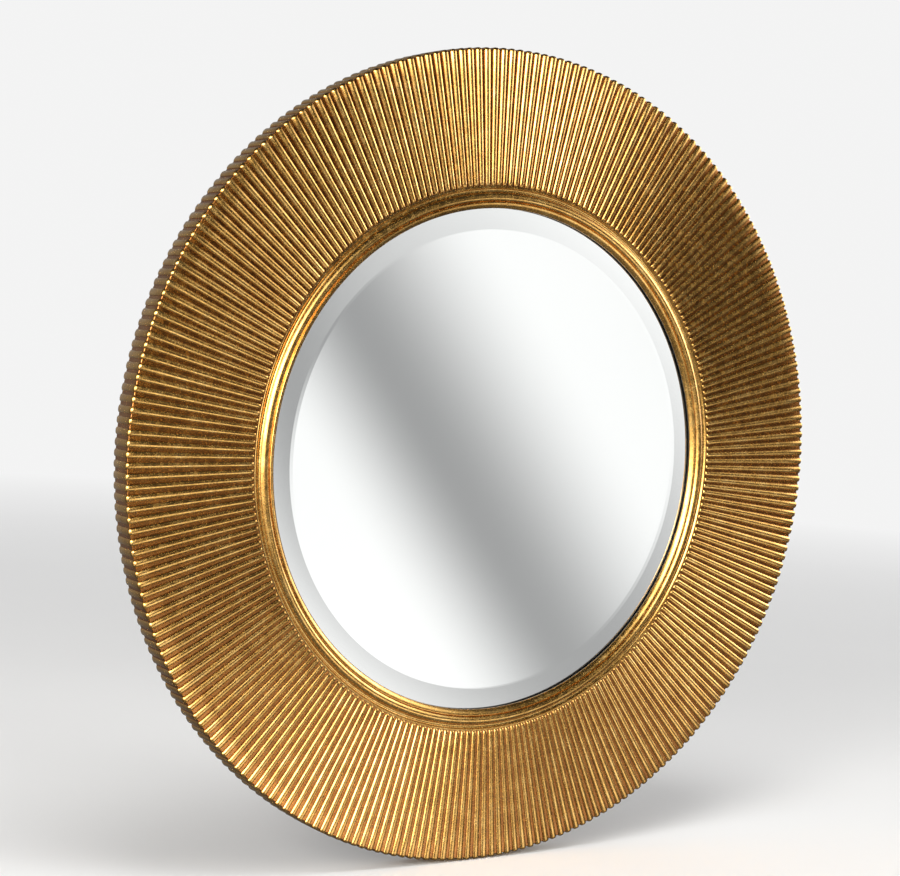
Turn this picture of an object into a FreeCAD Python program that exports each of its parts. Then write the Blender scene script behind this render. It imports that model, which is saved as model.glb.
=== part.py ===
"""Round wall mirror: a gilded ring of radial reeds, a turned sight moulding and a flat bevelled glass.

The mirror hangs upright: +Z is up and the glass faces -Y. The wall is the plane y = 0 and the mirror's
axis is the Y axis. A level is a distance in front of the wall, so a point at level d has y = -d.
Angles round the mirror start at the top (+Z) and go clockwise, as seen from the front.
"""
import FreeCAD, Part
import math
import os
import Sketcher
from FreeCAD import Placement, Rotation, Vector

# Driving dimensions in millimetres, degrees or counts: name, value, what it is.
SIZES = [
    # radial chain, from the opening outwards
    ("sight_diameter", 559, "opening that shows the glass"),
    ("lip_width", 6, "falling lip round the opening"),
    ("quirk_width", 1, "narrow channel outside the lip"),
    ("round_width", 10.2, "large round of the sight moulding"),
    ("cove_width", 4.5, "hollow outside the round"),
    ("fillet_width", 1.8, "flat outer edge of the sight moulding"),
    ("border_width", 0.9, "flat border of the ring inside the reeds"),
    ("reed_length", 146, "a reed from its inner end to the rim"),
    ("reed_tip_length", 3, "slope at a reed's inner end"),
    ("reed_count", 256, "reeds round the ring"),
    ("reed_rise_at_rim", 2.3, "reed crest over the groove, at the rim"),
    ("reed_crown_share", 0.5, "a reed's crown, as a share of its pitch"),
    ("seat_width", 3, "shoulder of the ring that the sight moulding sits on"),
    ("glass_cover", 7, "how far the glass runs under the lip"),
    ("glass_edge_gap", 1, "free space round the glass"),
    ("glue_gap", 0.1, "glue line between ring and sight moulding"),
    ("bevel_width", 30, "bevelled band of the glass"),
    ("strip_set_in", 0.3, "glazing strip behind the edge of the opening"),
    ("strip_width", 5.5, "glazing strip"),
    ("board_edge_gap", 0.8, "free space round the backing board"),
    # depth chain, from the wall forwards
    ("bumper_height", 6, "wall to the back of the ring"),
    ("back_recess", 3.3, "backing board sunk below the ring's back"),
    ("board_thickness", 9, "backing board"),
    ("silvering_thickness", 0.2, "silver with its backing paint"),
    ("glass_thickness", 5, "mirror glass"),
    ("bevel_drop", 2.5, "thickness lost at the bevelled edge"),
    ("strip_thickness", 2, "glazing strip at its inner edge"),
    ("sight_edge_height", 1.2, "upright edge of the opening"),
    ("lip_rise", 4, "lip from the opening up to the quirk"),
    ("lip_bulge", 0.7, "swelling of the lip over its chord"),
    ("quirk_depth", 1.9, "quirk below the top of the lip"),
    ("round_rise", 3.4, "crest of the round over the quirk"),
    ("cove_sag", 1.1, "hollow of the cove below its chord"),
    ("fillet_rise", 1.3, "fillet over the quirk"),
    ("fillet_proud", 1, "fillet over the ring's border"),
    ("face_fall", 9, "crests at the rim over the crests at the inner ends"),
    ("seat_depth", 5.3, "shoulder below the ring's border"),
    # turn buttons on the back of the sight moulding
    ("turn_button_count", 4, "turn buttons"),
    ("turn_button_angle", 45, "first turn button, from the top"),
    ("pivot_inset", 4.2, "turn button pivots outside the glass rebate"),
    ("turn_button_width", 11, "turn button"),
    ("turn_button_reach", 14.5, "pivot to the centre of the button's round end"),
    ("turn_button_thickness", 1.6, "turn button"),
    ("turn_button_play", 0.1, "gap under and over a turn button"),
    ("pivot_clearance", 0.05, "turn button hole round its screw, on the radius"),
    ("button_screw_radius", 1.75, "shank of a turn button screw"),
    ("button_screw_length", 11, "shank below the head"),
    ("screw_head_radius", 3.4, "screw heads"),
    ("screw_head_height", 1.8, "screw heads"),
    # strap hangers on the back of the ring
    ("hanger_angle", 40, "each hanger from the top"),
    ("hanger_inset", 78, "hanger eyes inside the rim"),
    ("strap_width", 11, "strap"),
    ("strap_length", 26, "eye to the lower end of the strap"),
    ("strap_thickness", 1.2, "strap metal"),
    ("strap_play", 0.1, "strap off the ring's back"),
    ("wire_radius", 1.5, "wire of a hanger ring"),
    ("eye_clearance", 0.08, "eye round the wire, on the radius"),
    ("loop_half_width", 9, "bar of a hanger ring, centre to corner"),
    ("loop_side", 9, "upright sides of the loop"),
    ("loop_height", 18, "bar to the loop's outer end, at the wire's centre"),
    ("loop_top_half_width", 4, "loop's outer end, centre to corner"),
    ("strap_screw_drop", 17, "eye to the screw"),
    ("strap_screw_radius", 1.75, "shank of a strap screw"),
    ("strap_screw_length", 15, "shank below the head"),
    # wall bumpers
    ("bumper_size", 16, "square bumper pad"),
    ("bumper_inset", 25, "bumpers' centres inside the rim"),
    ("bumper_angle", 45, "first bumper, from the top"),
]

# Places worked out from the sizes, as formulas of the second sheet. Each may use the ones above it.
PLACES = [
    ("sight_radius", "Sizes.sight_diameter / 2"),
    ("quirk_inner", "sight_radius + Sizes.lip_width"),
    ("round_inner", "quirk_inner + Sizes.quirk_width"),
    ("cove_inner", "round_inner + Sizes.round_width"),
    ("fillet_inner", "cove_inner + Sizes.cove_width"),
    ("moulding_radius", "fillet_inner + Sizes.fillet_width"),
    ("counterbore_radius", "moulding_radius + Sizes.glue_gap"),
    ("tip_radius", "counterbore_radius + Sizes.border_width"),
    ("rim_radius", "tip_radius + Sizes.reed_length"),
    ("tenon_radius", "moulding_radius - Sizes.seat_width"),
    ("bore_radius", "tenon_radius + Sizes.glue_gap"),
    ("glass_radius", "sight_radius + Sizes.glass_cover"),
    ("rebate_radius", "glass_radius + Sizes.glass_edge_gap"),
    ("bevel_inner", "glass_radius - Sizes.bevel_width"),
    ("strip_inner", "sight_radius + Sizes.strip_set_in"),
    ("strip_outer", "strip_inner + Sizes.strip_width"),
    ("board_radius", "rebate_radius - Sizes.board_edge_gap"),
    ("ring_back", "Sizes.bumper_height"),
    ("board_back", "ring_back + Sizes.back_recess"),
    ("silvering_back", "board_back + Sizes.board_thickness"),
    ("glass_back", "silvering_back + Sizes.silvering_thickness"),
    ("glass_front", "glass_back + Sizes.glass_thickness"),
    ("bevel_slope", "Sizes.bevel_drop / Sizes.bevel_width"),
    ("strip_back_inner", "glass_front - bevel_slope * (strip_inner - bevel_inner)"),
    ("strip_back_outer", "glass_front - bevel_slope * (strip_outer - bevel_inner)"),
    ("strip_front", "strip_back_inner + Sizes.strip_thickness"),
    ("lip_foot", "strip_front + Sizes.sight_edge_height"),
    ("lip_top", "lip_foot + Sizes.lip_rise"),
    ("quirk_floor", "lip_top - Sizes.quirk_depth"),
    ("fillet_level", "quirk_floor + Sizes.fillet_rise"),
    ("border_level", "fillet_level - Sizes.fillet_proud"),
    ("seat_level", "border_level - Sizes.seat_depth"),
    ("slope_start", "tip_radius + Sizes.reed_tip_length"),
    ("face_pitch", "Sizes.face_fall / (rim_radius - slope_start)"),
    ("tip_taper", "slope_start / (rim_radius - Sizes.reed_rise_at_rim)"),
    ("reed_rise_at_tip", "Sizes.reed_rise_at_rim * tip_taper * (1 - face_pitch)"),
    ("tip_crest", "border_level + reed_rise_at_tip"),
    ("rim_crest", "tip_crest + Sizes.face_fall"),
    ("rim_foot_radius", "rim_radius - Sizes.reed_rise_at_rim"),
    ("rim_foot_level", "rim_crest - Sizes.reed_rise_at_rim"),
    ("pivot_radius", "rebate_radius + Sizes.pivot_inset"),
    ("button_front", "board_back - Sizes.turn_button_play"),
    ("button_back", "button_front - Sizes.turn_button_thickness"),
    ("button_head_front", "button_back - Sizes.turn_button_play"),
    ("eye_bore", "Sizes.wire_radius + Sizes.eye_clearance"),
    ("eye_outer", "eye_bore + Sizes.strap_thickness"),
    ("eye_level", "ring_back - Sizes.strap_play - eye_outer"),
    ("strap_back", "ring_back - Sizes.strap_play - Sizes.strap_thickness"),
    ("hanger_radius", "rim_radius - Sizes.hanger_inset"),
    ("hanger_x", "hanger_radius * sin(Sizes.hanger_angle)"),
    ("hanger_z", "hanger_radius * cos(Sizes.hanger_angle)"),
    ("strap_screw_z", "hanger_z - Sizes.strap_screw_drop"),
    ("bumper_radius", "rim_radius - Sizes.bumper_inset"),
]

doc = FreeCAD.newDocument("reeded_round_mirror")
sizes = doc.addObject("Spreadsheet::Sheet", "Sizes")
for row, (name, value, meaning) in enumerate(SIZES, start=1):
    sizes.set(f"A{row}", str(value))
    sizes.setAlias(f"A{row}", name)
    sizes.set(f"B{row}", meaning)
doc.recompute()
places = doc.addObject("Spreadsheet::Sheet", "Places")
for row, (name, formula) in enumerate(PLACES, start=1):
    places.setAlias(f"A{row}", name)
    places.set(f"A{row}", "=" + formula)
doc.recompute()


def size(name):
    return float(sizes.get(name))


def place(name):
    return float(places.get(name))


def bind(thing, **formulas):
    """Tie properties of an object to formulas of the two sheets."""
    for prop, formula in formulas.items():
        thing.setExpression(prop, formula)


def point(radius, angle, level):
    """The point at a radius, an angle in radians and a level."""
    return Vector(radius * math.sin(angle), -level, radius * math.cos(angle))


# ---------------------------------------------------------------- sketches

FRONTWARD = Rotation(Vector(1, 0, 0), 180)   # turns a sketch in the XY plane so that its height is the level
ON_AXIS = 1e-9


def new_sketch(body, name, plane, level=None, turn=None):
    """An empty sketch on one of the body's origin planes, raised to a level where one is given."""
    sketch = body.newObject("Sketcher::SketchObject", name)
    support = next(f for f in body.Origin.OriginFeatures if f.Role == plane)
    sketch.AttachmentSupport = [(support, "")]
    sketch.MapMode = "FlatFace"
    if turn:
        sketch.AttachmentOffset = Placement(Vector(0, 0, 0), turn)
    if level:
        sketch.setExpression("AttachmentOffset.Base.z", level)
    return sketch


def fix_point(sketch, geometry, end, across, up):
    """Hold a point of the sketch at two formulas measured from the sketch's origin."""
    for kind, formula, axis in (("DistanceX", across, -2), ("DistanceY", up, -1)):
        if abs(sketch.evalExpression(formula)) < ON_AXIS:
            sketch.addConstraint(Sketcher.Constraint("PointOnObject", geometry, end, axis))
            continue
        value = float(sketch.evalExpression(formula))
        index = sketch.addConstraint(Sketcher.Constraint(kind, -1, 1, geometry, end, value))
        sketch.setExpression(f"Constraints[{index}]", formula)


def hold_arc(sketch, arc, radius, corner, after, swell):
    """Tie an arc to its swelling: by its centre where it is a half round, else by its radius."""
    run = f"({after[0]} - ({corner[0]}))"
    rise = f"({after[1]} - ({corner[1]}))"
    chord = math.hypot(*(float(sketch.evalExpression(f)) for f in (run, rise)))
    if abs(2 * radius - chord) > 1e-6:
        held = sketch.addConstraint(Sketcher.Constraint("Radius", arc, radius))
        formula = f"({run} * {run} + {rise} * {rise}) / (8 * ({swell})) + ({swell}) / 2"
        sketch.setExpression(f"Constraints[{held}]", formula)
        return
    middle = f"({corner[1]} + ({after[1]})) / 2"
    value = float(sketch.evalExpression(middle))
    if abs(value) < ON_AXIS:
        sketch.addConstraint(Sketcher.Constraint("PointOnObject", arc, 3, -1))
        return
    held = sketch.addConstraint(Sketcher.Constraint("DistanceY", -1, 1, arc, 3, value))
    sketch.setExpression(f"Constraints[{held}]", middle)


def outline(sketch, corners):
    """A closed outline. A corner is (across, up) or (across, up, swell); all are formulas.

    A swell joins the corner to the next one by an arc that stands off its chord by that much, to the
    right of the direction of travel.
    """
    spots = [Vector(*(float(sketch.evalExpression(f)) for f in corner[:2])) for corner in corners]
    ends = []
    for index, corner in enumerate(corners):
        after = (index + 1) % len(corners)
        start, stop = spots[index], spots[after]
        if len(corner) == 2:
            item = sketch.addGeometry(Part.LineSegment(start, stop), False)
            ends.append((item, 1, 2))
            continue
        along = stop - start
        right = Vector(along.y, -along.x, 0).normalize()
        crest = (start + stop) * 0.5 + right * float(sketch.evalExpression(corner[2]))
        item = sketch.addGeometry(Part.Arc(start, crest, stop), False)
        curve = sketch.Geometry[item]
        ends.append((item, 1, 2))
        hold_arc(sketch, item, curve.Radius, corner, corners[after], corner[2])
    for index, (item, first, last) in enumerate(ends):
        after_item, after_first, _ = ends[(index + 1) % len(ends)]
        sketch.addConstraint(Sketcher.Constraint("Coincident", item, last, after_item, after_first))
        fix_point(sketch, item, first, *corners[index][:2])
    if sketch.solve() != 0:
        raise RuntimeError(f"{sketch.Name} doesn't solve")


def flats(start, stop, swell, count, side=1):
    """The corners of a curve cut as flats, from start up to but not including stop.

    The flats follow an arc that stands off the chord by the swell, to the right of the direction of
    travel where side is 1 and to the left where it is -1.
    """
    run = f"({stop[0]} - {start[0]})"
    rise = f"({stop[1]} - {start[1]})"
    chord = f"sqrt({run} ^ 2 + {rise} ^ 2)"
    radius = f"({chord} ^ 2 / (8 * {swell}) + {swell} / 2)"
    corners = [start]
    for index in range(1, count):
        share = (1 - math.cos(math.pi * index / count)) / 2
        off = f"(sqrt({radius} ^ 2 - ({share - 0.5:.4f} * {chord}) ^ 2) - {radius} + {swell})"
        across = f"{start[0]} + {run} * {share:.4f} + {side} * {rise} / {chord} * {off}"
        up = f"{start[1]} + {rise} * {share:.4f} - {side} * {run} / {chord} * {off}"
        corners.append((across, up))
    return corners


def circle(sketch, across, up, radius):
    """A circle whose centre and radius are formulas."""
    spot = Vector(float(sketch.evalExpression(across)), float(sketch.evalExpression(up)), 0)
    span = float(sketch.evalExpression(radius))
    item = sketch.addGeometry(Part.Circle(spot, Vector(0, 0, 1), span), False)
    held = sketch.addConstraint(Sketcher.Constraint("Radius", item, span))
    sketch.setExpression(f"Constraints[{held}]", radius)
    fix_point(sketch, item, 3, across, up)


def new_body(name):
    body = doc.addObject("PartDesign::Body", name)
    body.Label = name
    return body


def turned(body, corners):
    """A full turn about the mirror's axis of an outline given as (radius, level) corners."""
    sketch = new_sketch(body, body.Name + "_profile", "XY_Plane", turn=FRONTWARD)
    outline(sketch, corners)
    turn = body.newObject("PartDesign::Revolution", body.Name + "_turn")
    turn.Profile = sketch
    turn.ReferenceAxis = (sketch, ["V_Axis"])
    turn.Angle = 360
    return turn


def disc(name, radius, back, front):
    body = new_body(name)
    turned(body, [("0", back), (radius, back), (radius, front), ("0", front)])
    return body


def polar_copies(body, feature, count):
    """Copies of a feature round the mirror's axis."""
    pattern = body.newObject("PartDesign::PolarPattern", feature.Name + "_round")
    pattern.Originals = [feature]
    axis = next(f for f in body.Origin.OriginFeatures if f.Role == "Y_Axis")
    pattern.Axis = (axis, [""])
    pattern.Angle = 360
    bind(pattern, Occurrences=count)
    body.Tip = pattern
    return pattern


# ---------------------------------------------------------------- fluted ring

def reed_section(radius, level, outward, forward, rise):
    """Corners round the ring, three to a reed: the groove before it and its crown's two edges. The
    grooves lie at a radius and a level; a crown stands off by the rise, outwards and forwards."""
    count = int(size("reed_count"))
    pitch = 2 * math.pi / count
    half_crown = size("reed_crown_share") * pitch / 2
    corners = []
    for index in range(count):
        middle = index * pitch
        corners.append(point(radius, middle - pitch / 2, level))
        for angle in (middle - half_crown, middle + half_crown):
            corners.append(point(radius + outward * rise, angle, level + forward * rise))
    return corners


def polygon(*corners):
    return Part.Face(Part.makePolygon([*corners, corners[0]]))


def strips(section, after, split):
    """Faces between two sections, split into triangles where their corners aren't in one plane."""
    faces = []
    for index in range(len(section)):
        here = (index + 1) % len(section)
        corners = [section[index], section[here], after[here], after[index]]
        on_flank = index % 3 != 1
        if split and on_flank:
            faces.append(polygon(*corners[:3]))
            faces.append(polygon(corners[0], *corners[2:]))
        else:
            faces.append(polygon(*corners))
    return faces


def reeded_blank():
    """The reeds on a solid disc: from the back up the side wall, round the corner at the rim, over
    the face to the inner ends and down to the border. The lines of the crowns and the grooves all
    meet in one point on the axis, so each flank is flat."""
    rise = size("reed_rise_at_rim")
    foot_radius, foot_level = place("rim_foot_radius"), place("rim_foot_level")
    border = place("border_level")
    back = reed_section(foot_radius, place("ring_back"), 1, 0, rise)
    rim = reed_section(foot_radius, foot_level, 1, 1, rise)
    slope = reed_section(place("slope_start"), border, 0, 1, place("reed_rise_at_tip"))
    foot = reed_section(place("tip_radius"), border, 0, 0, 0)
    faces = [polygon(*back), polygon(*foot)]
    faces += strips(back, rim, False) + strips(rim, slope, False) + strips(slope, foot, True)
    blank = doc.addObject("Part::Feature", "reeded_blank")
    blank.Shape = Part.Solid(Part.Shell(faces))
    return blank


def cylinder(name, radius, back, height, across="0", up="0"):
    """A cylinder that starts at a level and runs forwards from the wall."""
    item = doc.addObject("Part::Cylinder", name)
    item.Placement = Placement(Vector(0, 0, 0), Rotation(Vector(1, 0, 0), 90))
    bind(item, Radius=radius, Height=height)
    item.setExpression("Placement.Base.x", across)
    item.setExpression("Placement.Base.y", f"-({back})")
    item.setExpression("Placement.Base.z", up)
    return item


STRAP_SIDES = (("left", "-1"), ("right", "1"))


def strap_screw_places():
    """Where the strap screws stand, as pairs of formulas."""
    return [(f"{sign} * Places.hanger_x", "Places.strap_screw_z") for _, sign in STRAP_SIDES]


def make_fluted_ring():
    """The reeded blank, bored and counterbored for the sight moulding and drilled for the straps."""
    cutters = [
        cylinder("bore", "Places.bore_radius", "0", "Places.rim_crest"),
        cylinder("counterbore", "Places.counterbore_radius", "Places.seat_level", "Places.rim_crest"),
    ]
    depth = "Sizes.strap_screw_length - Sizes.strap_thickness - Sizes.strap_play"
    for index, (across, up) in enumerate(strap_screw_places()):
        cutters.append(
            cylinder(f"strap_pilot_{index}", "Sizes.strap_screw_radius", "Places.ring_back", depth, across, up)
        )
    tool = doc.addObject("Part::MultiFuse", "ring_cutters")
    tool.Shapes = cutters
    ring = doc.addObject("Part::Cut", "fluted_ring")
    ring.Base = reeded_blank()
    ring.Tool = tool
    return ring


# ---------------------------------------------------------------- sight moulding and what it holds

def make_sight_moulding():
    """Turned ring: lip, quirk, round, cove and fillet in front; tenon and glass rebate behind."""
    fillet = ("Places.fillet_inner", "Places.fillet_level")
    cove = ("Places.cove_inner", "Places.quirk_floor")
    quirk = ("Places.round_inner", "Places.quirk_floor")
    lip_top = ("Places.quirk_inner", "Places.lip_top")
    lip_foot = ("Places.sight_radius", "Places.lip_foot")
    body = new_body("sight_moulding")
    turned(body, [
        ("Places.rebate_radius", "Places.board_back"),
        ("Places.tenon_radius", "Places.board_back"),
        ("Places.tenon_radius", "Places.seat_level"),
        ("Places.moulding_radius", "Places.seat_level"),
        ("Places.moulding_radius", "Places.fillet_level"),
        *flats(fillet, cove, "Sizes.cove_sag", 2, side=-1),
        *flats(cove, quirk, "Sizes.round_rise", 4),
        quirk,
        ("Places.quirk_inner", "Places.quirk_floor"),
        *flats(lip_top, lip_foot, "Sizes.lip_bulge", 2),
        lip_foot,
        ("Places.sight_radius", "Places.strip_front"),
        ("Places.rebate_radius", "Places.strip_front"),
    ])
    pilot = new_sketch(body, "pilot_place", "XZ_Plane", level="Places.board_back")
    angle = "Sizes.turn_button_angle"
    circle(pilot, f"Places.pivot_radius * sin({angle})", f"Places.pivot_radius * cos({angle})",
           "Sizes.button_screw_radius")
    hole = body.newObject("PartDesign::Pocket", "pilot")
    hole.Profile = pilot
    hole.Reversed = True
    bind(hole, Length="Places.button_head_front + Sizes.button_screw_length - Places.board_back")
    doc.recompute()
    polar_copies(body, hole, "Sizes.turn_button_count")
    return body


def make_glazing_strip():
    """Flat towards the lip, sloped like the bevel towards the glass."""
    body = new_body("glazing_strip")
    turned(body, [
        ("Places.strip_inner", "Places.strip_back_inner"),
        ("Places.strip_outer", "Places.strip_back_outer"),
        ("Places.strip_outer", "Places.strip_front"),
        ("Places.strip_inner", "Places.strip_front"),
    ])
    return body


def make_mirror_glass():
    """Flat plate with a bevelled edge."""
    body = new_body("mirror_glass")
    edge = "Places.glass_front - Sizes.bevel_drop"
    turned(body, [
        ("0", "Places.glass_back"),
        ("Places.glass_radius", "Places.glass_back"),
        ("Places.glass_radius", edge),
        ("Places.bevel_inner", "Places.glass_front"),
        ("0", "Places.glass_front"),
    ])
    return body


# ---------------------------------------------------------------- turn buttons

def stand(body, across, level, up, angle="0"):
    """Place a body by formulas, turned about the mirror's axis."""
    body.Placement = Placement(Vector(0, 0, 0), Rotation(Vector(0, 1, 0), 1))
    body.setExpression(".Placement.Base.x", across)
    body.setExpression(".Placement.Base.y", f"-({level})")
    body.setExpression(".Placement.Base.z", up)
    body.setExpression(".Placement.Rotation.Angle", angle)


def turn_button_angle(index):
    return f"(Sizes.turn_button_angle + {index} * 360 / Sizes.turn_button_count)"


def make_turn_button(index):
    """Plate with both ends cut round by flats, pointing from its pivot towards the mirror's centre."""
    body = new_body(f"turn_button_{index + 1}")
    half = "Sizes.turn_button_width / 2"
    sketch = new_sketch(body, body.Name + "_outline", "XZ_Plane", level="Places.button_back")
    inner = [(f"(-{half})", "(-Sizes.turn_button_reach)"), (f"({half})", "(-Sizes.turn_button_reach)")]
    outer = [(f"({half})", "0"), (f"(-{half})", "0")]
    outline(sketch, [
        *flats(*inner, f"({half})", 4),
        inner[1],
        *flats(*outer, f"({half})", 4),
        outer[1],
    ])
    circle(sketch, "0", "0", "Sizes.button_screw_radius + Sizes.pivot_clearance")
    plate = body.newObject("PartDesign::Pad", body.Name + "_plate")
    plate.Profile = sketch
    bind(plate, Length="Sizes.turn_button_thickness")
    angle = turn_button_angle(index)
    stand(body, f"Places.pivot_radius * sin({angle})", "0", f"Places.pivot_radius * cos({angle})", angle)
    return body


# ---------------------------------------------------------------- screws

def make_screws(name, spots, head_front, shank_radius, shank_length):
    """Flat-headed screws, driven forwards; their heads bear at one level."""
    screws = []
    for index, (across, up) in enumerate(spots):
        back = f"{head_front} - Sizes.screw_head_height"
        head = cylinder(f"{name}_head_{index}", "Sizes.screw_head_radius", back,
                        "Sizes.screw_head_height", across, up)
        shank = cylinder(f"{name}_shank_{index}", shank_radius, head_front, shank_length, across, up)
        screw = doc.addObject("Part::Fuse", f"{name}_screw_{index}")
        screw.Base = head
        screw.Tool = shank
        screws.append(screw)
    group = doc.addObject("Part::Compound", name)
    group.Links = screws
    return group


def make_turn_button_screws():
    radius = "Places.pivot_radius"
    angles = [turn_button_angle(index) for index in range(int(size("turn_button_count")))]
    spots = [(f"{radius} * sin({angle})", f"{radius} * cos({angle})") for angle in angles]
    return make_screws("turn_button_screws", spots, "Places.button_head_front",
                       "Sizes.button_screw_radius", "Sizes.button_screw_length")


def make_hanger_screws():
    return make_screws("hanger_screws", strap_screw_places(), "Places.strap_back",
                       "Sizes.strap_screw_radius", "Sizes.strap_screw_length")


# ---------------------------------------------------------------- hangers

def make_hanger_strap(side, sign):
    """Metal strap curled into an eye at its upper end, with two screw holes."""
    body = new_body(f"hanger_strap_{side}")
    sketch = new_sketch(body, body.Name + "_side", "YZ_Plane")
    outer, inner = "Places.eye_outer", "Places.eye_bore"
    join = f"sqrt({outer} * {outer} - {inner} * {inner})"
    chord_squared = f"(({outer} - {inner}) * ({outer} - {inner}) + {join} * {join})"
    swell = f"{outer} + sqrt({outer} * {outer} - {chord_squared} / 4)"
    outline(sketch, [
        (f"-{outer}", "-Sizes.strap_length"),
        (f"-{inner}", "-Sizes.strap_length"),
        (f"-{inner}", f"-{join}", swell),
        (f"-{outer}", "0"),
    ])
    circle(sketch, "0", "0", "Places.eye_bore")
    strap = body.newObject("PartDesign::Pad", body.Name + "_strap")
    strap.Profile = sketch
    strap.Midplane = True
    bind(strap, Length="Sizes.strap_width")
    drill = new_sketch(body, body.Name + "_holes", "XZ_Plane")
    circle(drill, "0", "-Sizes.strap_screw_drop", "Sizes.strap_screw_radius")
    holes = body.newObject("PartDesign::Pocket", body.Name + "_drilled")
    holes.Profile = drill
    holes.Reversed = True
    bind(holes, Length="2 * Places.eye_outer")
    stand(body, f"{sign} * Places.hanger_x", "Places.eye_level", "Places.hanger_z")
    return body


def make_hanger_ring(side, sign):
    """Wire loop: a straight bar in the eye, two upright sides and an outer end with cut corners."""
    body = new_body(f"hanger_ring_{side}")
    half, top = "Sizes.loop_half_width", "Sizes.loop_top_half_width"
    path = new_sketch(body, body.Name + "_path", "XZ_Plane")
    outline(path, [
        ("0", "0"),
        (half, "0"),
        (half, "Sizes.loop_side"),
        (top, "Sizes.loop_height"),
        (f"-{top}", "Sizes.loop_height"),
        (f"-{half}", "Sizes.loop_side"),
        (f"-{half}", "0"),
    ])
    section = new_sketch(body, body.Name + "_section", "YZ_Plane")
    circle(section, "0", "0", "Sizes.wire_radius")
    doc.recompute()
    loop = body.newObject("PartDesign::AdditivePipe", body.Name + "_loop")
    loop.Profile = section
    loop.Spine = (path, [f"Edge{n + 1}" for n in range(len(path.Shape.Edges))])
    loop.Transition = "Right corner"
    stand(body, f"{sign} * Places.hanger_x", "Places.eye_level", "Places.hanger_z")
    return body


def make_bumper(index):
    """Square pad between the ring's back and the wall."""
    angle = f"(Sizes.bumper_angle + {index} * 90)"
    pad = doc.addObject("Part::Box", f"bumper_{index + 1}")
    bind(pad, Length="Sizes.bumper_size", Width="Sizes.bumper_height", Height="Sizes.bumper_size")
    pad.setExpression("Placement.Base.x", f"Places.bumper_radius * sin({angle}) - Sizes.bumper_size / 2")
    pad.setExpression("Placement.Base.y", "-Sizes.bumper_height")
    pad.setExpression("Placement.Base.z", f"Places.bumper_radius * cos({angle}) - Sizes.bumper_size / 2")
    return pad


# ---------------------------------------------------------------- the whole mirror

pieces = [
    make_fluted_ring(),
    make_sight_moulding(),
    make_glazing_strip(),
    make_mirror_glass(),
    disc("silvering", "Places.glass_radius", "Places.silvering_back", "Places.glass_back"),
    disc("backing_board", "Places.board_radius", "Places.board_back", "Places.silvering_back"),
    *[make_turn_button(index) for index in range(int(size("turn_button_count")))],
    make_turn_button_screws(),
    *[make_hanger_strap(side, sign) for side, sign in STRAP_SIDES],
    *[make_hanger_ring(side, sign) for side, sign in STRAP_SIDES],
    make_hanger_screws(),
    *[make_bumper(index) for index in range(4)],
]
doc.recompute()

for item in doc.Objects:
    if {"Invalid", "Error"} & set(item.State):
        raise RuntimeError(f"{item.Name} failed: {item.State}")
for piece in pieces:
    if piece.Shape.isNull() or not piece.Shape.isValid():
        raise RuntimeError(f"{piece.Name} has no valid shape")

os.makedirs("parts", exist_ok=True)
for piece in pieces:
    piece.Label = piece.Name
    piece.Shape.exportStep(f"parts/{piece.Label}.step")
    print(f"{piece.Label}: {len(piece.Shape.Solids)} solid(s), {piece.Shape.Volume / 1000:.1f} cm3")
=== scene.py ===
import math

import bmesh
import bpy
import numpy as np
from mathutils import Euler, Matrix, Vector


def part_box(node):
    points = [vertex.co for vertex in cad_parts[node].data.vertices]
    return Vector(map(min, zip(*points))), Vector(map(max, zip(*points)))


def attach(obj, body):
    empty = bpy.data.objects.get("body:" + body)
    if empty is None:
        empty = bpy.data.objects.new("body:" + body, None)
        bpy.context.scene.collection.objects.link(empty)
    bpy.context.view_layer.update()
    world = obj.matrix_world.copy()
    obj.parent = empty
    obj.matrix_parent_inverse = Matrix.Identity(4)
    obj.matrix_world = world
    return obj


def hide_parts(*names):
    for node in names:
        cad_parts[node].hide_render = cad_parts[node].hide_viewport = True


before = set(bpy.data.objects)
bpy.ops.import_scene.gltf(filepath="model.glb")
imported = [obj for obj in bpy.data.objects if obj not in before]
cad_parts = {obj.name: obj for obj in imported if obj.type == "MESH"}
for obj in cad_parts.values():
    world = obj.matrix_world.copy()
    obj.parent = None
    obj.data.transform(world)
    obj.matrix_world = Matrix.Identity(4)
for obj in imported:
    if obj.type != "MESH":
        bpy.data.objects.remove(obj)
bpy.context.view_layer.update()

# ---------------------------------------------------------------- sizes, in millimetres
# A radius is measured from the mirror's axis, a level outwards from the wall.
MM = 1000

# The ring: crests stand on the side wall at RIM, and on the front at CREST_RIM by the rim.
REEDS = 256
RIM = 450.0
CREST_RIM = -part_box("fluted_ring")[0][1] * MM
RISE_RIM, RISE_TIP = 2.3, 1.48
BACK = 6.0
BORDER = 27.158
SLOPE_START, TIP = 307.0, 304.0
COUNTERBORE, BORE, SEAT = 303.1, 300.1, 21.858

# One reed: corners across its crown, from flank to flank, and its groove's share of the pitch.
CROWN = np.array([-1.0, -0.96, -0.86, -0.68, -0.42, -0.14, 0.14, 0.42, 0.68, 0.86, 0.96, 1.0])
CROWN_RISE = (1 - np.abs(CROWN) ** 2.3) ** 0.55
GROOVE, GROOVE_GAIN_AT_TIP, GROOVE_INSIDE = 0.27, 0.10, 0.3
GROOVE_FLOOR = 0.3
SIDE_ROWS = ((0, 0.55), (0.6, 0.86), (1.6, 1.0), (14, 1.0))     # above BACK, share of the rise
RIM_CORNER, RIM_CORNER_ROWS = 0.9, 5
FRONT_ROWS = 8
TIP_ROUNDING, TIP_TURNS = 1.2, (28, 50, 66, 80, 90)
BACK_MIDDLE, BACK_RELIEF = 375.0, 0.6

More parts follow.
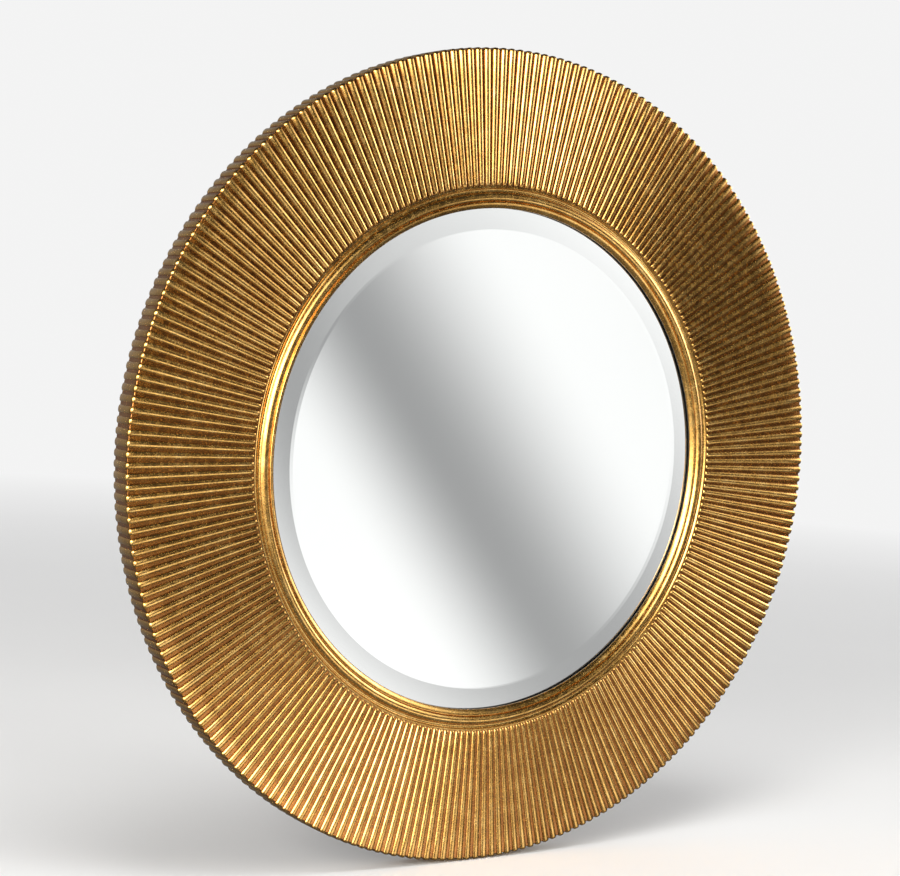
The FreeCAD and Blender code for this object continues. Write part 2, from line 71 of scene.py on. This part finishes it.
# How the reeds differ: spreads of place (in pitches), slant, height, width and slow waves.
PLACE_SPREAD, SLANT_SPREAD, HEIGHT_SPREAD, WIDTH_SPREAD = 0.014, 0.07, 0.035, 0.02
WAVE_SPREAD, WAVE_ASIDE, WAVE_TALL = 0.05, 0.072, 0.05

# The sight moulding's section: (radius, level) corners and (start, stop, swell, points) arcs.
MOULDING_BACK = [(287.5, 9.3), (299.6, 9.3), (300.0, 9.7), (300.0, SEAT), (303.0, SEAT)]
MOULDING_FILLET = [(303.0, 27.9), (302.75, 28.158), (301.5, 28.158)]
MOULDING_COVE = ((301.2, 28.1), (296.7, 26.858), -1.05, 8)
MOULDING_ROUND = ((296.7, 26.858), (286.5, 26.858), 3.4, 18)
MOULDING_QUIRK = [(286.5, 26.858), (286.3, 26.7), (285.7, 26.7), (285.5, 27.0), (285.5, 28.4)]
MOULDING_LIP = ((285.1, 28.758), (279.6, 24.84), 0.7, 10)
MOULDING_FOOT = [(279.5, 24.7), (279.5, 23.558), (287.5, 23.558)]

# The glass: its middle is left open by a pinprick, so that no corners lie on each other.
GLASS_R, BEVEL_IN, BEVEL_DROP = 286.5, 256.5, 2.5
GLASS_BACK, GLASS_FRONT, SILVER_GAP = 18.5, 23.5, 0.02
MIDDLE = 0.001

# The hanger loops: wire radius, corners round the wire, how far the line's corners are cut back,
# and the line itself (across, up).
WIRE, WIRE_CORNERS, CORNER_CUT = 1.5, 20, 2.6
LOOP = np.array([(0, 0), (9, 0), (9, 9), (4, 18), (-4, 18), (-9, 9), (-9, 0)], float)

rng = np.random.default_rng(7)


# ---------------------------------------------------------------- meshes
def mesh_object(name, verts, faces, body, materials, smooth_angle, face_mat=None):
    """A piece from corners in millimetres. The faces may be wound either way."""
    mesh = bpy.data.meshes.new(name)
    mesh.from_pydata((np.asarray(verts) / MM).tolist(), [], faces)
    work = bmesh.new()
    work.from_mesh(mesh)
    bmesh.ops.recalc_face_normals(work, faces=work.faces)
    work.to_mesh(mesh)
    work.free()
    mesh.update()
    mesh.shade_smooth()
    mesh.set_sharp_from_angle(angle=math.radians(smooth_angle))
    for material in materials:
        mesh.materials.append(material)
    if face_mat is not None:
        mesh.polygons.foreach_set("material_index", np.asarray(face_mat, dtype=np.int32))
    obj = bpy.data.objects.new(name, mesh)
    bpy.context.scene.collection.objects.link(obj)
    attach(obj, body)
    return obj


def full_turn(count):
    return np.arange(count) * 2 * math.pi / count


def ring_corners(radius, level, angle):
    """Corners at a radius, a level and an angle that runs clockwise from the top."""
    corners = np.broadcast_arrays(radius * np.sin(angle), -np.asarray(level, float),
                                  radius * np.cos(angle))
    return np.stack(corners, -1).reshape(-1, 3)


def join_rows(first, second, length):
    """Faces between two closed rows of corners, given the number of each row's first corner."""
    return [(first + k, second + k, second + (k + 1) % length, first + (k + 1) % length)
            for k in range(length)]


def lathe(name, profile, materials, run_mats, segments, smooth_angle):
    """Turns a closed line of (radius, level) corners; run_mats has one material number a run."""
    angle = full_turn(segments)
    verts = np.concatenate([ring_corners(radius, level, angle) for radius, level in profile])
    faces = []
    for i in range(len(profile)):
        faces += join_rows(i * segments, (i + 1) % len(profile) * segments, segments)
    return mesh_object(name, verts, faces, "frame", materials, smooth_angle,
                       np.repeat(run_mats, segments))


def arc(start, stop, swell, count):
    """Points on an arc from start up to but not including stop.

    It stands off by swell to the right of travel, or to the left where swell is negative."""
    a = np.array(start, float)
    run = np.array(stop, float) - a
    chord = np.hypot(*run)
    right = np.array([run[1], -run[0]]) / chord
    radius = chord ** 2 / (8 * abs(swell)) + abs(swell) / 2
    points = []
    for i in range(count):
        share = (1 - math.cos(math.pi * i / count)) / 2
        off = math.sqrt(radius ** 2 - ((share - 0.5) * chord) ** 2) - radius + abs(swell)
        points.append(tuple(a + run * share + right * off * math.copysign(1, swell)))
    return points


# ---------------------------------------------------------------- materials
WHITE = (1, 1, 1)
LEAF = [(0.28, (0.60, 0.31, 0.06)), (0.5, (0.79, 0.44, 0.105)), (0.72, (0.90, 0.56, 0.18))]
SPECKS = [(0.34, (0.62, 0.56, 0.46)), (0.5, WHITE)]
# painted shade and brown glaze for the grooves: the gold is multiplied by this where the relief is
# low
HOLLOW_GLAZE_AND_SHADE = [(0.0, (0.58, 0.39, 0.21)), (0.55, WHITE)]


def new_material(name, **values):
    """A material, its node tree and its shader, with the shader's own sockets set to values."""
    material = bpy.data.materials.new(name)
    material.use_nodes = True
    shader = material.node_tree.nodes["Principled BSDF"]
    for key, value in values.items():
        shader.inputs[key.replace("_", " ")].default_value = value
    return material, material.node_tree, shader


def node(tree, kind, **values):
    item = tree.nodes.new(kind)
    for key, value in values.items():
        if key in item.inputs:
            item.inputs[key].default_value = value
        else:
            setattr(item, key, value)
    return item


def noise(tree, scale, detail=4.0, rough=0.55, vector=None, distortion=0.0):
    item = node(tree, "ShaderNodeTexNoise", Scale=scale, Detail=detail, Roughness=rough,
                Distortion=distortion)
    if vector is None:
        vector = node(tree, "ShaderNodeTexCoord").outputs["Object"]
    tree.links.new(vector, item.inputs["Vector"])
    return item.outputs["Fac"]


def ramp(tree, fac, stops, easing="LINEAR"):
    item = node(tree, "ShaderNodeValToRGB")
    item.color_ramp.interpolation = easing
    elements = item.color_ramp.elements
    while len(elements) < len(stops):
        elements.new(0.5)
    for element, (spot, colour) in zip(elements, stops):
        element.position = spot
        element.color = (*colour, 1)
    tree.links.new(fac, item.inputs["Fac"])
    return item.outputs["Color"]


def shades(tree, fac, colour, darker):
    """From a darker share of the colour up to the colour itself."""
    return ramp(tree, fac, [(0.3, tuple(c * darker for c in colour)), (0.7, colour)])


def multiply(tree, share, first, second):
    item = node(tree, "ShaderNodeMix", data_type="RGBA", blend_type="MULTIPLY")
    item.inputs[0].default_value = share
    tree.links.new(first, item.inputs[6])
    tree.links.new(second, item.inputs[7])
    return item.outputs[2]


def to_range(tree, value, low, high, out_low, out_high):
    item = node(tree, "ShaderNodeMapRange")
    tree.links.new(value, item.inputs["Value"])
    ends = {"From Min": low, "From Max": high, "To Min": out_low, "To Max": out_high}
    for key, number in ends.items():
        item.inputs[key].default_value = number
    return item.outputs["Result"]


def bump(tree, shader, height, strength, distance):
    item = node(tree, "ShaderNodeBump", Strength=strength, Distance=distance)
    tree.links.new(height, item.inputs["Height"])
    tree.links.new(item.outputs["Normal"], shader.inputs["Normal"])


def gold_leaf(name, relief):
    """Burnished metal leaf over a red-brown ground: mottled, rubbed thin, and darker in the
    hollows, partly with a brown glaze and partly with painted shade.
    """
    material, tree, shader = new_material(name, Metallic=1.0, Coat_Weight=0.8, Coat_Roughness=0.16)
    colour = multiply(tree, 0.7, ramp(tree, noise(tree, 55, 6, 0.62), LEAF),
                      ramp(tree, noise(tree, 520, 4, 0.6), SPECKS))
    if relief:
        # the grooves are painted darker by their relief: partly an antique glaze, partly painted
        # shade in the hollows
        depth = node(tree, "ShaderNodeAttribute", attribute_name="relief")
        colour = multiply(tree, 1.0, colour, ramp(tree, depth.outputs["Fac"], HOLLOW_GLAZE_AND_SHADE))
    tree.links.new(colour, shader.inputs["Base Color"])
    rough = to_range(tree, noise(tree, 160, 5, 0.6), 0.3, 0.7, 0.15, 0.33)
    tree.links.new(rough, shader.inputs["Roughness"])
    bump(tree, shader, noise(tree, 700, 4, 0.6), 0.22, 0.0005)
    return material


def wood(name, dark, light, rough=0.6, scale=12):
    material, tree, shader = new_material(name)
    coord = node(tree, "ShaderNodeTexCoord")
    stretch = node(tree, "ShaderNodeMapping", Scale=(1, 1, 9))
    tree.links.new(coord.outputs["Object"], stretch.inputs["Vector"])
    grain = noise(tree, scale, 8, 0.65, stretch.outputs["Vector"], 0.4)
    tree.links.new(ramp(tree, grain, [(0.3, dark), (0.7, light)]), shader.inputs["Base Color"])
    tree.links.new(to_range(tree, grain, 0.2, 0.8, rough + 0.12, rough - 0.08),
                   shader.inputs["Roughness"])
    bump(tree, shader, grain, 0.3, 0.0008)
    return material


def metal(name, colour, rough):
    material, tree, shader = new_material(name, Metallic=1.0)
    tint = shades(tree, noise(tree, 260, 5, 0.6), colour, 0.78)
    tree.links.new(tint, shader.inputs["Base Color"])
    tree.links.new(to_range(tree, noise(tree, 900, 4, 0.7), 0.3, 0.7, rough - 0.07, rough + 0.1),
                   shader.inputs["Roughness"])
    bump(tree, shader, noise(tree, 1500, 3, 0.6), 0.15, 0.0002)
    return material


def plain(name, colour, rough):
    material, tree, shader = new_material(name)
    tint = shades(tree, noise(tree, 400, 5, 0.6), colour, 0.7)
    tree.links.new(tint, shader.inputs["Base Color"])
    tree.links.new(to_range(tree, noise(tree, 800, 3, 0.6), 0.3, 0.7, rough - 0.08, rough + 0.08),
                   shader.inputs["Roughness"])
    bump(tree, shader, noise(tree, 600, 4, 0.6), 0.2, 0.0003)
    return material


def clear_glass():
    material, tree, shader = new_material("bevelled_glass", Transmission_Weight=1.0, IOR=1.5,
                                          Roughness=0.0)
    tint = ramp(tree, noise(tree, 3, 2), [(0.0, (0.975, 0.99, 0.985)), (1.0, (0.985, 0.995, 0.99))])
    tree.links.new(tint, shader.inputs["Base Color"])
    return material


def silver():
    material, tree, shader = new_material("silver", Metallic=1.0, Roughness=0.0)
    tint = ramp(tree, noise(tree, 3, 2), [(0.0, (0.93, 0.935, 0.93)), (1.0, (0.945, 0.945, 0.94))])
    tree.links.new(tint, shader.inputs["Base Color"])
    return material


GOLD_REED = gold_leaf("gold_leaf_reeds", True)
GOLD = gold_leaf("gold_leaf_moulding", False)
BACK_WOOD = wood("stained_back", (0.05, 0.028, 0.014), (0.13, 0.075, 0.038))
BOARD = wood("hardboard", (0.16, 0.095, 0.05), (0.25, 0.16, 0.09), 0.65, 30)
ZINC = metal("zinc_plate", (0.60, 0.61, 0.62), 0.32)
SCREW = metal("screw_plate", (0.55, 0.54, 0.50), 0.28)
RUBBER = plain("pad_rubber", (0.035, 0.035, 0.037), 0.75)
BLACK = plain("black_trim", (0.012, 0.011, 0.010), 0.5)
PAINT = plain("backing_paint", (0.10, 0.11, 0.12), 0.6)


def paint_node(name, material):
    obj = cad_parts[name]
    if not obj.data.materials:
        obj.data.materials.append(material)
    for place in obj.material_slots:
        place.material = material


paint_node("glazing_strip", BLACK)
paint_node("silvering", PAINT)
paint_node("backing_board", BOARD)
for number in range(1, 5):
    paint_node(f"turn_button_{number}", ZINC)
    paint_node(f"bumper_{number}", RUBBER)
paint_node("turn_button_screws", SCREW)
paint_node("hanger_screws", SCREW)
for side in ("left", "right"):
    paint_node(f"hanger_strap_{side}", ZINC)


# ---------------------------------------------------------------- the reeded ring
def reed_stations():
    """Rows round the ring, from the foot of its side wall over the rim to the moulding's seat.

    Each is the groove's radius and level, how far outward and forward a reed stands up from there,
    its rise, and the groove's share of the pitch."""
    foot_r, foot_level = RIM - RISE_RIM, CREST_RIM - RISE_RIM
    stations = [(foot_r, BACK + lift, 1.0, 0.0, RISE_RIM * share, GROOVE)
                for lift, share in SIDE_ROWS]
    turn_r, turn_level = foot_r - RIM_CORNER, foot_level - RIM_CORNER
    for turn in np.radians(np.linspace(0, 90, RIM_CORNER_ROWS)):
        out, forward = math.cos(turn), math.sin(turn)
        stations.append((turn_r + RIM_CORNER * out, turn_level + RIM_CORNER * forward,
                         out, forward, RISE_RIM, GROOVE))
    end = SLOPE_START + TIP_ROUNDING
    for radius in turn_r + (end - turn_r) * np.linspace(0, 1, FRONT_ROWS)[1:]:
        along = (turn_r - radius) / (turn_r - SLOPE_START)
        stations.append((radius, foot_level + (BORDER - foot_level) * along,
                         0.0, 1.0, RISE_RIM + (RISE_TIP - RISE_RIM) * along, GROOVE))
    for turn in np.radians(TIP_TURNS):
        inward = math.sin(turn)
        stations.append((end - (end - TIP) * inward, BORDER + 0.02,
                         0.0, 1.0, RISE_TIP * math.cos(turn), GROOVE + GROOVE_GAIN_AT_TIP * inward))
    for radius, level in ((COUNTERBORE + 0.1, BORDER), (COUNTERBORE, BORDER - 0.15),
                          (COUNTERBORE, SEAT)):
        stations.append((radius, level, 0.0, 1.0, 0.0, GROOVE_INSIDE))
    return stations


def reeded_ring():
    """Each reed has a flat-bottomed groove, steep flanks, a round crown and a crisp rim corner."""
    stations = reed_stations()
    count = len(CROWN) + 2
    row = REEDS * count
    place = rng.normal(0, PLACE_SPREAD, REEDS)
    slant = rng.normal(0, SLANT_SPREAD, REEDS)
    height = 1 + rng.normal(0, HEIGHT_SPREAD, REEDS)
    width = 1 + rng.normal(0, WIDTH_SPREAD, REEDS)
    waves = rng.normal(0, WAVE_SPREAD, (REEDS, 3))
    verts, relief = [], []
    for radius, level, out, forward, rise, groove in stations:
        inward = min(max((RIM - radius) / (RIM - SLOPE_START), 0), 1)
        sway = waves[:, 0] * math.sin(3 * inward) + waves[:, 1] * math.sin(9 * inward + 1)
        aside = place + WAVE_ASIDE * sway
        tall = height * (1 + WAVE_TALL * waves[:, 2] * math.sin(14 * inward))
        shares = np.zeros((REEDS, count))
        rises = np.zeros((REEDS, count))
        shares[:, 0] = -0.5
        shares[:, 1:-1] = CROWN * (1 - groove) / 2 * width[:, None] + aside[:, None]
        shares[:, -1] = 0.5 - groove * GROOVE_FLOOR
        rises[:, 1:-1] = CROWN_RISE * (tall[:, None] + slant[:, None] * CROWN)
        # on the side wall and the corner no crest passes the rim
        rises = np.clip(rises, 0, 1.0 if out > 0.01 else 1.2)
        angle = (np.arange(REEDS)[:, None] + shares) * 2 * math.pi / REEDS
        crest = np.minimum(level + forward * rise * rises, CREST_RIM)
        verts.append(ring_corners(radius + out * rise * rises, crest, angle))
        relief.append(rises.ravel())
    # the bore and the plain back, with a corner for every corner of the reeds' rows
    for radius, level in ((BORE, SEAT), (BORE, BACK + 0.4), (BORE + 0.4, BACK),
                          (BACK_MIDDLE, BACK)):
        verts.append(ring_corners(radius, level, full_turn(row)))
        relief.append(np.full(row, BACK_RELIEF))
    faces = []
    for step in range(len(verts)):
        faces += join_rows(step * row, (step + 1) % len(verts) * row, row)
    front = len(stations) - 1
    face_mat = np.repeat([0] * front + [1] * (len(verts) - front), row)
    obj = mesh_object("reeded_ring", np.concatenate(verts), faces, "frame",
                      [GOLD_REED, BACK_WOOD], 50, face_mat)
    # the relief, which the reeds' material turns into painted shade and glaze in the grooves
    attribute = obj.data.attributes.new("relief", "FLOAT", "POINT")
    attribute.data.foreach_set("value", np.concatenate(relief).astype(np.float32))
    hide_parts("fluted_ring")


# ---------------------------------------------------------------- sight moulding and glass
def sight_moulding():
    profile = [*MOULDING_BACK, *MOULDING_FILLET, *arc(*MOULDING_COVE), *arc(*MOULDING_ROUND),
               *MOULDING_QUIRK, *arc(*MOULDING_LIP), *MOULDING_FOOT]
    bare = len(MOULDING_BACK)
    run_mats = [1] * bare + [0] * (len(profile) - bare - 2) + [1, 1]
    obj = lathe("turned_sight_moulding", profile, [GOLD, BACK_WOOD], run_mats,
                480, 38)
    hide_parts("sight_moulding")


def bevelled_mirror():
    """The plate, silvered on its back."""
    back = GLASS_BACK + SILVER_GAP
    profile = [(MIDDLE, back), (GLASS_R, back), (GLASS_R, GLASS_FRONT - BEVEL_DROP),
               (BEVEL_IN, GLASS_FRONT), (MIDDLE, GLASS_FRONT)]
    obj = lathe("bevelled_mirror", profile, [clear_glass(), silver()],
                [1, 0, 0, 0, 0], 384, 3)
    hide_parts("mirror_glass")


# ---------------------------------------------------------------- hanger rings
def loop_path():
    """The wire's centre line, with its corners rounded. It starts midway along the bottom run."""
    path = [LOOP[0]]
    for i in range(1, len(LOOP)):
        here = LOOP[i]
        to_before, to_after = (LOOP[(i + step) % len(LOOP)] - here for step in (-1, 1))
        start = here + to_before / np.hypot(*to_before) * CORNER_CUT
        stop = here + to_after / np.hypot(*to_after) * CORNER_CUT
        for s in np.linspace(0, 1, 9):
            path.append((1 - s) ** 2 * start + 2 * s * (1 - s) * here + s * s * stop)
    return np.array(path)


def wire_loop(side):
    low, high = (np.array(corner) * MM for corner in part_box(f"hanger_ring_{side}"))
    x0, y0, z0 = (low[0] + high[0]) / 2, (low[1] + high[1]) / 2, low[2] + WIRE
    path = loop_path()
    around = full_turn(WIRE_CORNERS)
    verts, faces = [], []
    for i, (across, up) in enumerate(path):
        ahead = path[(i + 1) % len(path)] - path[i - 1]
        ahead /= np.hypot(*ahead)
        verts.append(np.stack([x0 + across + ahead[1] * WIRE * np.cos(around),
                               y0 + WIRE * np.sin(around),
                               z0 + up - ahead[0] * WIRE * np.cos(around)], -1))
        faces += join_rows(i * WIRE_CORNERS, (i + 1) % len(path) * WIRE_CORNERS, WIRE_CORNERS)
    obj = mesh_object(f"hanger_loop_{side}", np.concatenate(verts), faces, f"hanger_ring_{side}",
                      [ZINC], 60)
    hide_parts(f"hanger_ring_{side}")


reeded_ring()
sight_moulding()
bevelled_mirror()
for side in ("left", "right"):
    wire_loop(side)

# ---------------------------------------------------------------- stage, in metres
BACKGROUND = (0.90, 0.90, 0.90)
FILL = (0.55, 0.55, 0.56)
FLOOR_LEVEL, FLOOR_REACH = -0.4505, 9
FLOOR_FADE = (1.3, 5.0)

# Soft boxes that the gold reflects: direction round from the front and up, half width and half
# height, all in degrees, and strength.
TENT_RADIUS, TENT_ACROSS, TENT_UP = 3.6, 96, 48
TENT_DARK = 0.035
TENT_TINT = (1.0, 0.985, 0.94, 1.0)
SOFT_BOXES = [(-24, 14, 17, 12, 12.5), (-48, 12, 17, 12, 9.5), (-68, 2, 14, 20, 3.2),
              (78, 18, 20, 12, 7.2), (25, -22, 18, 10, 2.2), (-40, -20, 15, 10, 1.0),
              (0, -60, 60, 20, 0.2), (180, 10, 70, 40, 0.3)]

# The card that the glass shows: place, half size, the band's direction on it, reach and colours.
CARD_PLACE, CARD_HALF = (1.9, -2.75, -0.15), (2.2, 1.9)
BAND_ACROSS, BAND_REACH = (0.819, -0.574, 0.0), (-1.4, 1.5)
BAND = [(0.03, (0.9, 0.9, 0.9)), (0.38, (1.12, 1.12, 1.12)), (0.54, (0.40, 0.40, 0.405)),
        (0.65, (1.12, 1.12, 1.12)), (0.74, (1.12, 1.12, 1.12)), (0.98, (0.9, 0.9, 0.9))]

# Lamps that only matt surfaces take light from: place, size, power and colour, aimed at the middle.
LAMPS = {"key_left": ((-2.6, -1.7, 0.9), (1.0, 1.6), 58, (1.0, 0.98, 0.94)),
         "key_right": ((2.4, -2.6, 0.8), (1.2, 1.6), 46, (1.0, 0.98, 0.95)),
         "top": ((-0.3, -1.0, 2.6), (1.6, 1.0), 40, WHITE)}


def emission_material(name, colour):
    """colour is a function that adds nodes to a tree and returns a colour socket."""
    material = bpy.data.materials.new(name)
    material.use_nodes = True
    material.cycles.emission_sampling = "NONE"
    tree = material.node_tree
    tree.nodes.clear()
    out = tree.nodes.new("ShaderNodeOutputMaterial")
    glow = tree.nodes.new("ShaderNodeEmission")
    tree.links.new(colour(tree), glow.inputs["Color"])
    tree.links.new(glow.outputs[0], out.inputs["Surface"])
    return material


def stage_mesh(name, verts, faces, material, hidden_from):
    """A mesh of the stage, and the kinds of ray that pass it by."""
    mesh = bpy.data.meshes.new(name)
    mesh.from_pydata(verts, [], faces)
    mesh.materials.append(material)
    obj = bpy.data.objects.new(name, mesh)
    bpy.context.scene.collection.objects.link(obj)
    for kind in hidden_from:
        setattr(obj, f"visible_{kind}", False)
    return obj


def rectangle(half_x, half_y, level=0):
    return [(-half_x, -half_y, level), (half_x, -half_y, level),
            (half_x, half_y, level), (-half_x, half_y, level)]


def tent_light(az, el):
    """What a direction in degrees sends to the gold."""
    light = TENT_DARK
    for box_az, box_el, wide, tall, strength in SOFT_BOXES:
        # a turn covers less of the tent the higher up it is
        turn = ((az - box_az + 180) % 360 - 180) * max(math.cos(math.radians(el)), 0.3)
        light += strength * math.exp(-(turn / wide) ** 2 - ((el - box_el) / tall) ** 2)
    return light


def light_tent():
    """A tent round the mirror that only metal reflects: dark, with soft boxes shining through."""
    verts, faces, glow = [], [], []
    for j in range(TENT_UP + 1):
        el = -90 + 180 * j / TENT_UP
        for i in range(TENT_ACROSS):
            az = 360 * i / TENT_ACROSS
            e, a = math.radians(el), math.radians(az)
            verts.append((TENT_RADIUS * math.cos(e) * math.sin(a),
                          -TENT_RADIUS * math.cos(e) * math.cos(a),
                          TENT_RADIUS * math.sin(e)))
            glow.append(tent_light(az, el))
        if j < TENT_UP:
            faces += join_rows(j * TENT_ACROSS, (j + 1) * TENT_ACROSS, TENT_ACROSS)

    def glow_colour(tree):
        return node(tree, "ShaderNodeAttribute", attribute_name="glow").outputs["Color"]

    obj = stage_mesh("light_tent", verts, faces, emission_material("tent", glow_colour),
                     ("camera", "diffuse", "shadow", "transmission"))
    colours = np.outer(glow, TENT_TINT)
    colours[:, 3] = 1
    attribute = obj.data.attributes.new("glow", "FLOAT_COLOR", "POINT")
    attribute.data.foreach_set("color", colours.ravel())


def mirror_card():
    """What the glass shows: a white wall with a broad soft grey band across it."""
    def band(tree):
        coord = node(tree, "ShaderNodeTexCoord")
        along = node(tree, "ShaderNodeVectorMath", operation="DOT_PRODUCT")
        tree.links.new(coord.outputs["Object"], along.inputs[0])
        along.inputs[1].default_value = BAND_ACROSS
        return ramp(tree, to_range(tree, along.outputs["Value"], *BAND_REACH, 0, 1), BAND, "EASE")

    obj = stage_mesh("mirror_card", rectangle(*CARD_HALF), [(0, 1, 2, 3)],
                     emission_material("mirror_card", band),
                     ("camera", "diffuse", "shadow", "glossy"))
    obj.location = CARD_PLACE
    obj.rotation_euler = (-Vector(CARD_PLACE)).to_track_quat("Z", "Y").to_euler()


def floor_material():
    """Pale and matt, melting into the background a few metres out."""
    material, tree, shader = new_material("floor", Roughness=0.9)
    tint = ramp(tree, noise(tree, 2, 2), [(0.0, (0.80, 0.80, 0.79)), (1.0, (0.83, 0.83, 0.82))])
    tree.links.new(tint, shader.inputs["Base Color"])
    coord = node(tree, "ShaderNodeTexCoord")
    away = node(tree, "ShaderNodeVectorMath", operation="LENGTH")
    tree.links.new(coord.outputs["Object"], away.inputs[0])
    glow = node(tree, "ShaderNodeEmission", Color=(*BACKGROUND, 1))
    blend = tree.nodes.new("ShaderNodeMixShader")
    tree.links.new(to_range(tree, away.outputs["Value"], *FLOOR_FADE, 0, 1), blend.inputs["Fac"])
    tree.links.new(shader.outputs[0], blend.inputs[1])
    tree.links.new(glow.outputs[0], blend.inputs[2])
    tree.links.new(blend.outputs[0], tree.nodes["Material Output"].inputs["Surface"])
    return material


def make_world():
    """Shows the pale background, and lights matt surfaces with the fill."""
    world = bpy.data.worlds.new("studio")
    bpy.context.scene.world = world
    world.use_nodes = True
    tree = world.node_tree
    tree.nodes.clear()
    out = tree.nodes.new("ShaderNodeOutputWorld")
    paths = tree.nodes.new("ShaderNodeLightPath")
    shows = paths.outputs["Is Camera Ray"]
    for kind in ("Is Glossy Ray", "Is Transmission Ray"):
        either = node(tree, "ShaderNodeMath", operation="MAXIMUM")
        tree.links.new(shows, either.inputs[0])
        tree.links.new(paths.outputs[kind], either.inputs[1])
        shows = either.outputs[0]
    blend = tree.nodes.new("ShaderNodeMixShader")
    tree.links.new(shows, blend.inputs["Fac"])
    for socket, colour in ((1, FILL), (2, BACKGROUND)):
        sky = node(tree, "ShaderNodeBackground", Color=(*colour, 1))
        tree.links.new(sky.outputs[0], blend.inputs[socket])
    tree.links.new(blend.outputs[0], out.inputs["Surface"])


def lamp(name, place, size, power, colour):
    light = bpy.data.lights.new(name, "AREA")
    light.shape = "RECTANGLE"
    light.size, light.size_y = size
    light.energy = power
    light.color = colour
    obj = bpy.data.objects.new(name, light)
    bpy.context.scene.collection.objects.link(obj)
    obj.location = place
    obj.rotation_euler = (-Vector(place)).to_track_quat("-Z", "Y").to_euler()
    obj.visible_glossy = obj.visible_transmission = False


stage_mesh("floor", rectangle(FLOOR_REACH, FLOOR_REACH, FLOOR_LEVEL), [(0, 1, 2, 3)],
           floor_material(), ("transmission", "glossy"))
make_world()
light_tent()
mirror_card()
for name, values in LAMPS.items():
    lamp(name, *values)

# ---------------------------------------------------------------- camera
CAMERA_PLACE = (-1.2236, -1.7917, 0.1356)
CAMERA_TURN = (84.3436, -3.7005, -33.0896)      # degrees

camera_data = bpy.data.cameras.new("camera")
camera_data.sensor_width = 36
camera_data.lens = 77.215
camera_data.shift_y = 0.1
camera = bpy.data.objects.new("camera", camera_data)
bpy.context.scene.collection.objects.link(camera)
camera.location = CAMERA_PLACE
camera.rotation_euler = Euler([math.radians(angle) for angle in CAMERA_TURN], "XYZ")
bpy.context.scene.camera = camera
bpy.context.scene.view_settings.view_transform = "Standard"
